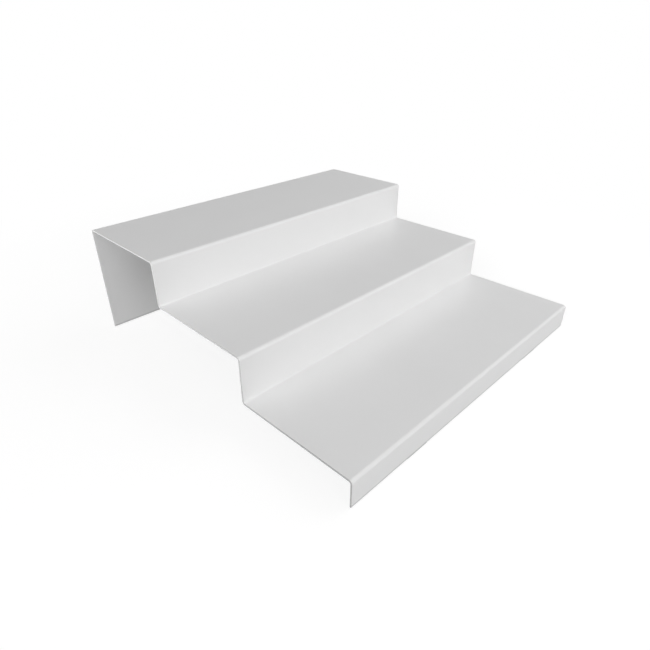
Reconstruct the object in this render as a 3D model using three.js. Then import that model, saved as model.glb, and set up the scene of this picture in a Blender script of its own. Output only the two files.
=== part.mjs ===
// A stepped display riser for a shop counter: one sheet of steel folded into three treads, two risers,
// a front lip and a back leg, open at both ends, that stands on four small rubber pads.
// Millimetres, +Z up, front towards -Y, origin on the counter under the middle of the footprint.
import * as THREE from "three";

// The folded sheet. Depths run between outer faces, heights between top faces.
const sheetWidth = 400;
const sheetThickness = 1.5;
const bendInsideRadius = 2;
const frontTreadDepth = 135;
const middleTreadDepth = 135;
const topTreadDepth = 135;
const frontTreadHeight = 30; // above the counter
const lowerRiserHeight = 50;
const upperRiserHeight = 50;

// The pads: a ledge under the sheet's edge, and a flange glued to the sheet's inner face.
const padLength = 30;
const padEndInset = 75; // from the end of the sheet to the end of the pad
const padLedgeHeight = 1;
const padFlangeHeight = 12;
const padFlangeThickness = 3;
const padSetback = 0.3; // from the sheet's outer face, so that the ledge doesn't stick out
const padCornerRadius = 1;
const glueGap = 0.1;

const bendSteps = 8; // facets of a bend
const padCornerSteps = 4;

// Where the faces lie, worked out from the sizes above.
const depth = frontTreadDepth + middleTreadDepth + topTreadDepth;
const frontY = -depth / 2;
const lowerRiserY = frontY + frontTreadDepth;
const upperRiserY = lowerRiserY + middleTreadDepth;
const backY = upperRiserY + topTreadDepth;
const edgeZ = padLedgeHeight + glueGap; // the sheet's two standing edges
const frontTreadZ = frontTreadHeight;
const middleTreadZ = frontTreadZ + lowerRiserHeight;
const topTreadZ = middleTreadZ + upperRiserHeight;

const sheetPaint = new THREE.MeshStandardMaterial({
  color: 0xe6e6e5,
  roughness: 0.42,
  metalness: 0,
});
const padRubber = new THREE.MeshStandardMaterial({
  color: 0xb9bab8,
  roughness: 0.7,
  metalness: 0,
});

// Points on a quarter turn about a centre, from one direction to the other, both unit vectors.
function quarterArc(centre, radius, from, to, steps) {
  return Array.from({ length: steps + 1 }, (_, i) => {
    const angle = ((Math.PI / 2) * i) / steps;
    return centre
      .clone()
      .addScaledVector(from, radius * Math.cos(angle))
      .addScaledVector(to, radius * Math.sin(angle));
  });
}

// The side outline of a sheet with square bends. The path is its show face, corner to corner, and the
// sheet lies on the right-hand side of the path.
function foldedOutline(path, thickness, insideRadius, steps) {
  const headings = path
    .slice(1)
    .map((point, i) => point.clone().sub(path[i]).normalize());
  const showFace = [path[0]];
  const hiddenFace = [];
  for (let i = 1; i < path.length - 1; i++) {
    const before = headings[i - 1];
    const after = headings[i];
    const turnsRight = before.cross(after) < 0;
    const outsideRadius = insideRadius + thickness;
    const showRadius = turnsRight ? outsideRadius : insideRadius;
    const hiddenRadius = turnsRight ? insideRadius : outsideRadius;
    const centre = path[i]
      .clone()
      .addScaledVector(after, showRadius)
      .addScaledVector(before, -showRadius);
    const inward = after.clone().negate();
    showFace.push(...quarterArc(centre, showRadius, inward, before, steps));
    hiddenFace.push(...quarterArc(centre, hiddenRadius, inward, before, steps));
  }
  showFace.push(path.at(-1));
  const throughSheet = (heading) =>
    new THREE.Vector2(heading.y, -heading.x).multiplyScalar(thickness);
  hiddenFace.unshift(path[0].clone().add(throughSheet(headings[0])));
  hiddenFace.push(path.at(-1).clone().add(throughSheet(headings.at(-1))));
  return [...showFace, ...hiddenFace.reverse()];
}

// A solid with a side outline drawn in (y, z), as long as given along X and centred on x = 0.
function extrudeAlongX(outline, length) {
  const geometry = new THREE.ExtrudeGeometry(new THREE.Shape(outline), {
    depth: length,
    bevelEnabled: false,
  });
  const alongX = new THREE.Matrix4().makeBasis(
    new THREE.Vector3(0, 1, 0),
    new THREE.Vector3(0, 0, 1),
    new THREE.Vector3(1, 0, 0),
  );
  return geometry.translate(0, 0, -length / 2).applyMatrix4(alongX);
}

// The sheet, followed over its show face from the lip's lower edge to the back leg's.
function makeStepSheet() {
  const showFace = [
    new THREE.Vector2(frontY, edgeZ),
    new THREE.Vector2(frontY, frontTreadZ),
    new THREE.Vector2(lowerRiserY, frontTreadZ),
    new THREE.Vector2(lowerRiserY, middleTreadZ),
    new THREE.Vector2(upperRiserY, middleTreadZ),
    new THREE.Vector2(upperRiserY, topTreadZ),
    new THREE.Vector2(backY, topTreadZ),
    new THREE.Vector2(backY, edgeZ),
  ];
  const outline = foldedOutline(
    showFace,
    sheetThickness,
    bendInsideRadius,
    bendSteps,
  );
  const mesh = new THREE.Mesh(extrudeAlongX(outline, sheetWidth), sheetPaint);
  mesh.name = "step_sheet";
  return mesh;
}

// One L-shaped pad. In its own frame the sheet's outer face is at y = 0 and the inside is towards +Y.
function makePad(name) {
  const flangeOuterY = sheetThickness + glueGap;
  const flangeInnerY = flangeOuterY + padFlangeThickness;
  const inward = new THREE.Vector2(1, 0);
  const up = new THREE.Vector2(0, 1);
  const down = new THREE.Vector2(0, -1);
  const cornerY = flangeInnerY - padCornerRadius;
  const lowerCorner = new THREE.Vector2(cornerY, padCornerRadius);
  const upperCorner = new THREE.Vector2(
    cornerY,
    padFlangeHeight - padCornerRadius,
  );
  const outline = [
    new THREE.Vector2(padSetback, 0),
    ...quarterArc(lowerCorner, padCornerRadius, down, inward, padCornerSteps),
    ...quarterArc(upperCorner, padCornerRadius, inward, up, padCornerSteps),
    new THREE.Vector2(flangeOuterY, padFlangeHeight),
    new THREE.Vector2(flangeOuterY, padLedgeHeight),
    new THREE.Vector2(padSetback, padLedgeHeight),
  ];
  const mesh = new THREE.Mesh(extrudeAlongX(outline, padLength), padRubber);
  mesh.name = name;
  return mesh;
}

const riser = new THREE.Group();
riser.add(makeStepSheet());

const padX = sheetWidth / 2 - padEndInset - padLength / 2;
const edges = [
  { end: "front", outerY: frontY, turn: 0 },
  { end: "rear", outerY: backY, turn: Math.PI },
];
const sides = [
  { side: "left", x: -padX },
  { side: "right", x: padX },
];
for (const { end, outerY, turn } of edges) {
  for (const { side, x } of sides) {
    const pad = makePad(`${end}_${side}_pad`);
    pad.position.set(x, outerY, 0);
    pad.rotation.z = turn;
    riser.add(pad);
  }
}

export default riser;
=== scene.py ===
"""A stepped display riser of folded, powder-coated sheet steel, in plain studio light on a pale floor."""

import math

import bmesh
import bpy
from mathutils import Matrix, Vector


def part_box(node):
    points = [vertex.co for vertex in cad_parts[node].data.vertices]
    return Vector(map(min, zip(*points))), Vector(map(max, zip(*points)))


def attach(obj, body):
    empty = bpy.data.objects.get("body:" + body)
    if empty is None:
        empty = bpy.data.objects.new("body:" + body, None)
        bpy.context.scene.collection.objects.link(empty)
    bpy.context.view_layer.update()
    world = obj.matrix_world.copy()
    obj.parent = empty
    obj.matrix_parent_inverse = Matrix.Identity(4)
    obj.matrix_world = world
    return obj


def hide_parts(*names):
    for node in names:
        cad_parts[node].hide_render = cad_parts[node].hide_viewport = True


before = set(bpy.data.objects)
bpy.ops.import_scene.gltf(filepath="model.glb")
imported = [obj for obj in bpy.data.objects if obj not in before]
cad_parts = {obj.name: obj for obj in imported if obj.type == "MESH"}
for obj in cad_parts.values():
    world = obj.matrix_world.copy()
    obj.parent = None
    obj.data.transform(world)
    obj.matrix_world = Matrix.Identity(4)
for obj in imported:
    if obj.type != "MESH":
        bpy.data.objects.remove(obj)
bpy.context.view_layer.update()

# The sheet, in metres, as the solid has it. Its outer faces come from the frame.
SHEET_THICKNESS = 0.0015
BEND_INSIDE_RADIUS = 0.002
TREAD_DEPTH = 0.135
RISER_HEIGHT = 0.05
BEND_STEPS = 16
EDGE_CORNER_RADIUS = 0.0004  # the coat rounds every cut edge
END_ROUND = 0.00035  # a little under the corner radius, so that no facet vanishes
EDGE_STEPS = 4

# The pads, in metres, as the solids have them.
PAD_LEDGE_HEIGHT = 0.001
PAD_FLANGE_THICKNESS = 0.003
PAD_CORNER_RADIUS = 0.001
PAD_EDGE_RADIUS = 0.0003
PAD_END_ROUND = 0.00025
PAD_NAMES = ("front_left_pad", "front_right_pad", "rear_left_pad", "rear_right_pad")

# The powder coat. Scales are in cells a metre, heights in metres, and colours are grey levels.
PEEL_SCALE = 700.0
GRAIN_SCALE = 2600.0
MOTTLE_SCALE = 14.0
MOTTLE_DETAIL = 4.0
PEEL_HEIGHT = 0.00006
GRAIN_SHARE = 0.25  # of the peel's height
COAT_LEVELS = (0.785, 0.815)
COAT_ROUGHNESS = (0.3, 0.36)
GRAIN_ROUGHNESS = (-0.02, 0.02)
COAT_IOR = 1.5
EDGE_SHADE_LEVELS = (0.68, 0.24)  # painted shade of the cut edges at both ends, lightest and darkest
EDGE_SHADE_REACH = (0.0002, 0.0008)  # metres from the end, over which the painted edge shade fades out
EDGE_SHADE_RISE = 1.5  # the weight of the height above the counter against the way back along Y
EDGE_SHADE_SPAN = (-0.16, 0.26)  # y plus the weighted height, from the darkest to the lightest painted edge shade
FOOT_SHADE_LEVEL = 0.58  # painted shade of the coat just above the two standing edges
FOOT_SHADE_REACH = (0.0012, 0.0028)  # metres above a standing edge, over which the painted shade fades out
PATCHINESS = (0.7, 1.0)  # how full the painted edge shade and the painted shade above the standing edges are, from place to place

# The pads' rubber.
RUBBER_GRAIN_SCALE = 3200.0
RUBBER_DUST_SCALE = 260.0
RUBBER_DUST_DETAIL = 5.0
RUBBER_GRAIN_HEIGHT = 0.00002
RUBBER_COLORS = ((0.44, 0.445, 0.435, 1), (0.53, 0.535, 0.525, 1))
RUBBER_ROUGHNESS = (0.62, 0.8)

# The camera, worked out from the photograph's perspective.
IMAGE_PIXELS = 650
FOCAL_PIXELS = 509.4
SENSOR_MM = 36.0
NEAR_CLIP = 0.01
CAMERA_PLACE = (-0.4102, -0.3805, 0.3322)
CAMERA_YAW = math.radians(45.46)  # to the right of +Y
CAMERA_PITCH = math.radians(30.53)  # below the horizon

# The studio.
WALL_STRENGTH = 1.0  # the world at the horizon, white where it is seen
CEILING_STRENGTH = 0.25
WALL_TOP = (0.04, 0.3)  # sines of the heights between which the wall fades into the ceiling
FLOOR_SIZE = 8.0
FLOOR_ALBEDO = 0.25
FLOOR_GLOW = 0.81  # what the floor adds to its own shade where it is seen, so that it looks white
SHADOW_REACH = (0.3, 0.75)  # metres from the middle, over which the floor's shade fades to plain white
LAMPS = (
    # name, place, size in metres, watts
    ("key_softbox", (0.8, -0.46, 0.77), 1.3, 6.2),
    ("front_softbox", (-0.7, -2.0, 0.57), 0.7, 9.0),
    ("side_softbox", (-4.09, -0.87, 1.36), 3.4, 190.0),
    ("back_softbox", (0.8, 4.25, 0.6), 1.0, 22.0),
)
LAMP_TARGET = Vector((0.0, 0.0, 0.05))


# Outlines with round corners

def round_corner(before, corner, after, radius, inset, steps):
    """Points and outward normals of one square corner, inset into a clockwise outline."""
    heading_in = (corner - before).normalized()
    heading_out = (after - corner).normalized()
    convex = heading_in.cross(heading_out) < 0
    centre = corner + radius * (heading_out - heading_in)
    reach = radius - inset if convex else radius + inset
    points = []
    for step in range(steps + 1):
        turn = math.pi / 2 * step / steps
        away = heading_in * math.sin(turn) - heading_out * math.cos(turn)
        points.append((centre + reach * away, away if convex else -away))
    return points


def round_outline(corners, inset):
    """A clockwise outline in (y, z) from (corner, radius, steps) rows, as points with normals."""
    outline = []
    for index, (corner, radius, steps) in enumerate(corners):
        before = corners[index - 1][0]
        after = corners[(index + 1) % len(corners)][0]
        outline += round_corner(before, corner, after, radius, inset, steps)
    return outline


def make_bar(name, corners, left, right, end_round, end_steps):
    """A closed mesh with one outline from left to right along X and rounded rims at both ends."""
    rings = []
    for side, end in ((-1, left), (1, right)):
        turns = [math.pi / 2 * step / end_steps for step in range(end_steps + 1)]
        if side < 0:
            turns.reverse()
        for turn in turns:
            x = end - side * end_round * (1 - math.sin(turn))
            outline = round_outline(corners, end_round * (1 - math.cos(turn)))
            rings.append((x, side * math.sin(turn), math.cos(turn), outline))

    shape = bmesh.new()
    normals = []
    loops = []
    for x, along, across, outline in rings:
        loop = []
        for point, normal in outline:
            loop.append(shape.verts.new((x, point.x, point.y)))
            normals.append(Vector((along, across * normal.x, across * normal.y)))
        loops.append(loop)
    for loop, following in zip(loops, loops[1:]):
        for index in range(len(loop)):
            back = index - 1
            shape.faces.new((loop[index], loop[back], following[back], following[index]))
    shape.faces.new(loops[0])
    shape.faces.new(loops[-1][::-1])
    for face in shape.faces:
        face.smooth = True
    mesh = bpy.data.meshes.new(name)
    shape.to_mesh(mesh)
    shape.free()
    mesh.normals_split_custom_set_from_vertices(normals)
    piece = bpy.data.objects.new(name, mesh)
    bpy.context.scene.collection.objects.link(piece)
    return piece


# The pieces

def make_step_sheet():
    low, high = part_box("step_sheet")
    lower_riser_y = low.y + TREAD_DEPTH
    upper_riser_y = lower_riser_y + TREAD_DEPTH
    middle_z = high.z - RISER_HEIGHT
    front_z = middle_z - RISER_HEIGHT
    show_face = [
        Vector((low.y, low.z)),
        Vector((low.y, front_z)),
        Vector((lower_riser_y, front_z)),
        Vector((lower_riser_y, middle_z)),
        Vector((upper_riser_y, middle_z)),
        Vector((upper_riser_y, high.z)),
        Vector((high.y, high.z)),
        Vector((high.y, low.z)),
    ]
    inside = BEND_INSIDE_RADIUS
    outside = BEND_INSIDE_RADIUS + SHEET_THICKNESS
    cut = (EDGE_CORNER_RADIUS, EDGE_STEPS)
    show = [(show_face[0], *cut)]
    hidden = [(show_face[0] + Vector((SHEET_THICKNESS, 0)), *cut)]
    for before, corner, after in zip(show_face, show_face[1:], show_face[2:]):
        heading_in = (corner - before).normalized()
        heading_out = (after - corner).normalized()
        turns_right = heading_in.cross(heading_out) < 0
        toward_inside = (heading_out - heading_in) * SHEET_THICKNESS
        behind = corner + toward_inside if turns_right else corner - toward_inside
        show.append((corner, outside if turns_right else inside, BEND_STEPS))
        hidden.append((behind, inside if turns_right else outside, BEND_STEPS))
    show.append((show_face[-1], *cut))
    hidden.append((show_face[-1] - Vector((SHEET_THICKNESS, 0)), *cut))
    corners = show + hidden[::-1]
    sheet = make_bar("folded_sheet", corners, low.x, high.x, END_ROUND, EDGE_STEPS)
    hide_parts("step_sheet")
    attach(sheet, "root")
    return sheet


def make_pad(node):
    low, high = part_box(node)
    faces_front = low.y < 0
    tip_y = low.y if faces_front else high.y
    back_y = high.y if faces_front else low.y
    inward = 1 if faces_front else -1
    flange_y = back_y - inward * PAD_FLANGE_THICKNESS
    ledge_z = low.z + PAD_LEDGE_HEIGHT
    small = (PAD_EDGE_RADIUS, EDGE_STEPS)
    large = (PAD_CORNER_RADIUS, EDGE_STEPS)
    corners = [
        (Vector((tip_y, low.z)), *small),
        (Vector((tip_y, ledge_z)), *small),
        (Vector((flange_y, ledge_z)), *small),
        (Vector((flange_y, high.z)), *small),
        (Vector((back_y, high.z)), *large),
        (Vector((back_y, low.z)), *large),
    ]
    if not faces_front:
        corners.reverse()
    pad = make_bar(node + "_rubber", corners, low.x, high.x, PAD_END_ROUND, EDGE_STEPS)
    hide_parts(node)
    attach(pad, "root")
    return pad


# Materials

def grey(level):
    return (level, level, level, 1)


class Nodes:
    """Adds nodes to one tree and links them."""

    def __init__(self, owner):
        owner.use_nodes = True
        self.tree = owner.node_tree
        self.tree.nodes.clear()

    def add(self, kind, settings=(), **inputs):
        node = self.tree.nodes.new(kind)
        for name, value in dict(settings).items():
            setattr(node, name, value)
        for name, value in inputs.items():
            self.feed(node.inputs[name.replace("_", " ")], value)
        return node

    def feed(self, socket, value):
        if isinstance(value, bpy.types.NodeSocket):
            self.tree.links.new(value, socket)
        else:
            socket.default_value = value

    def noise(self, scale, detail=2.0):
        place = self.add("ShaderNodeTexCoord").outputs["Object"]
        return self.add("ShaderNodeTexNoise", Vector=place, Scale=scale, Detail=detail).outputs["Fac"]

    def math(self, operation, first, second):
        node = self.add("ShaderNodeMath", {"operation": operation})
        self.feed(node.inputs[0], first)
        self.feed(node.inputs[1], second)
        return node.outputs[0]

    def spread(self, value, low, high):
        return self.add("ShaderNodeMapRange", Value=value, To_Min=low, To_Max=high).outputs[0]

    def fade(self, value, reach, near, far):
        """A smooth step from near to far, while the value runs over the reach."""
        node = self.add("ShaderNodeMapRange", {"interpolation_type": "SMOOTHSTEP"}, Value=value)
        self.feed(node.inputs["From Min"], reach[0])
        self.feed(node.inputs["From Max"], reach[1])
        self.feed(node.inputs["To Min"], near)
        self.feed(node.inputs["To Max"], far)
        return node.outputs[0]

    def blend(self, factor, first, second):
        node = self.add("ShaderNodeMix", {"data_type": "RGBA"})
        self.feed(node.inputs[0], factor)
        self.feed(node.inputs[6], first)
        self.feed(node.inputs[7], second)
        return node.outputs[2]

    def finish(self, shader, kind="ShaderNodeOutputMaterial"):
        self.add(kind, Surface=shader)


def powder_coat():
    """Satin white powder coat with fine orange peel, a faint mottle, and painted shade on the cut ends
    and just above the standing edges.
    """
    material = bpy.data.materials.new("white_powder_coat")
    nodes = Nodes(material)
    peel = nodes.noise(PEEL_SCALE)
    grain = nodes.noise(GRAIN_SCALE)
    mottle = nodes.noise(MOTTLE_SCALE, detail=MOTTLE_DETAIL)
    low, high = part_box("step_sheet")
    place = nodes.add("ShaderNodeTexCoord").outputs["Object"]
    x, y, z = nodes.add("ShaderNodeSeparateXYZ", Vector=place).outputs
    patchy = nodes.spread(peel, *PATCHINESS)
    # Painted shade: the cut edges at both ends are darkened, darkest toward the front and bottom,
    # lightest toward the top and back.
    from_end = nodes.math("SUBTRACT", high.x, nodes.math("ABSOLUTE", x, 0.0))
    edge_shade_mask = nodes.math("MULTIPLY", nodes.fade(from_end, EDGE_SHADE_REACH, 1.0, 0.0), patchy)
    # Painted shadow: the coat just above the two standing edges is darkened, as a contact shadow.
    from_foot = nodes.math("SUBTRACT", z, low.z)
    foot_shade_mask = nodes.math("MULTIPLY", nodes.fade(from_foot, FOOT_SHADE_REACH, 1.0, 0.0), patchy)
    coat = nodes.blend(mottle, *map(grey, COAT_LEVELS))
    way_up = nodes.math("ADD", y, nodes.math("MULTIPLY", z, EDGE_SHADE_RISE))
    edge_darkness = nodes.fade(way_up, EDGE_SHADE_SPAN, 1.0, 0.0)
    edge = nodes.blend(edge_darkness, *map(grey, EDGE_SHADE_LEVELS))
    # The coat, with painted shade just above the standing edges and painted shade on the cut ends.
    color = nodes.blend(edge_shade_mask, nodes.blend(foot_shade_mask, coat, grey(FOOT_SHADE_LEVEL)), edge)
    height = nodes.math("ADD", peel, nodes.math("MULTIPLY", grain, GRAIN_SHARE))
    bump = nodes.add("ShaderNodeBump", Height=height, Distance=PEEL_HEIGHT)
    broad = nodes.spread(mottle, *COAT_ROUGHNESS)
    roughness = nodes.math("ADD", broad, nodes.spread(grain, *GRAIN_ROUGHNESS))
    shader = nodes.add(
        "ShaderNodeBsdfPrincipled",
        Base_Color=color,
        Roughness=roughness,
        Normal=bump.outputs[0],
        IOR=COAT_IOR,
    )
    nodes.finish(shader.outputs[0])
    return material


def pad_rubber():
    """Pale grey moulded rubber, matt and a little dusty."""
    material = bpy.data.materials.new("pad_rubber")
    nodes = Nodes(material)
    grain = nodes.noise(RUBBER_GRAIN_SCALE)
    dust = nodes.noise(RUBBER_DUST_SCALE, detail=RUBBER_DUST_DETAIL)
    color = nodes.blend(dust, *RUBBER_COLORS)
    bump = nodes.add("ShaderNodeBump", Height=grain, Distance=RUBBER_GRAIN_HEIGHT)
    shader = nodes.add(
        "ShaderNodeBsdfPrincipled",
        Base_Color=color,
        Roughness=nodes.spread(dust, *RUBBER_ROUGHNESS),
        Normal=bump.outputs[0],
    )
    nodes.finish(shader.outputs[0])
    return material


# The studio

def seen_directly(nodes):
    """1 for the rays that show the background itself, 0 for those that only carry light."""
    path = nodes.add("ShaderNodeLightPath").outputs
    either = nodes.math("MAXIMUM", path["Is Camera Ray"], path["Is Glossy Ray"])
    return nodes.math("MAXIMUM", either, path["Is Transmission Ray"])


def make_floor():
    bpy.ops.mesh.primitive_plane_add(size=FLOOR_SIZE)
    floor = bpy.context.object
    floor.name = "floor"
    material = bpy.data.materials.new("pale_floor")
    nodes = Nodes(material)
    diffuse = nodes.add("ShaderNodeBsdfDiffuse", Color=grey(FLOOR_ALBEDO))
    seen = seen_directly(nodes)
    glow = nodes.add("ShaderNodeEmission", Strength=nodes.math("MULTIPLY", seen, FLOOR_GLOW))
    shaded = nodes.add("ShaderNodeAddShader")
    nodes.feed(shaded.inputs[0], diffuse.outputs[0])
    nodes.feed(shaded.inputs[1], glow.outputs[0])
    place = nodes.add("ShaderNodeTexCoord").outputs["Object"]
    distance = nodes.add("ShaderNodeVectorMath", {"operation": "LENGTH"}, Vector=place).outputs["Value"]
    away = nodes.fade(distance, SHADOW_REACH, 0.0, 1.0)
    white = nodes.add("ShaderNodeEmission", Color=grey(1))
    floor_shader = nodes.add("ShaderNodeMixShader", Fac=nodes.math("MULTIPLY", seen, away))
    nodes.feed(floor_shader.inputs[1], shaded.outputs[0])
    nodes.feed(floor_shader.inputs[2], white.outputs[0])
    nodes.finish(floor_shader.outputs[0])
    floor.data.materials.append(material)


def make_world():
    world = bpy.data.worlds.new("studio")
    bpy.context.scene.world = world
    nodes = Nodes(world)
    direction = nodes.add("ShaderNodeTexCoord").outputs["Generated"]
    height = nodes.add("ShaderNodeSeparateXYZ", Vector=direction).outputs["Z"]
    strength = nodes.fade(height, WALL_TOP, WALL_STRENGTH, CEILING_STRENGTH)
    background = nodes.add("ShaderNodeBackground", Color=grey(1), Strength=strength)
    nodes.finish(background.outputs[0], "ShaderNodeOutputWorld")


def make_lamps():
    for name, place, size, watts in LAMPS:
        data = bpy.data.lights.new(name, "AREA")
        data.size = size
        data.energy = watts
        lamp = bpy.data.objects.new(name, data)
        lamp.location = place
        lamp.rotation_euler = (LAMP_TARGET - lamp.location).to_track_quat("-Z", "Y").to_euler()
        lamp.visible_camera = False
        lamp.visible_glossy = False  # so that no hard white patch shows on the satin coat
        bpy.context.scene.collection.objects.link(lamp)


def make_camera():
    data = bpy.data.cameras.new("camera")
    data.sensor_width = SENSOR_MM
    data.lens = SENSOR_MM * FOCAL_PIXELS / IMAGE_PIXELS
    data.clip_start = NEAR_CLIP
    camera = bpy.data.objects.new("camera", data)
    camera.location = CAMERA_PLACE
    camera.rotation_euler = (math.pi / 2 - CAMERA_PITCH, 0, -CAMERA_YAW)
    bpy.context.scene.collection.objects.link(camera)
    bpy.context.scene.camera = camera


make_step_sheet().data.materials.append(powder_coat())
rubber = pad_rubber()
for pad_name in PAD_NAMES:
    make_pad(pad_name).data.materials.append(rubber)
make_floor()
make_world()
make_lamps()
make_camera()
bpy.context.scene.view_settings.view_transform = "Standard"
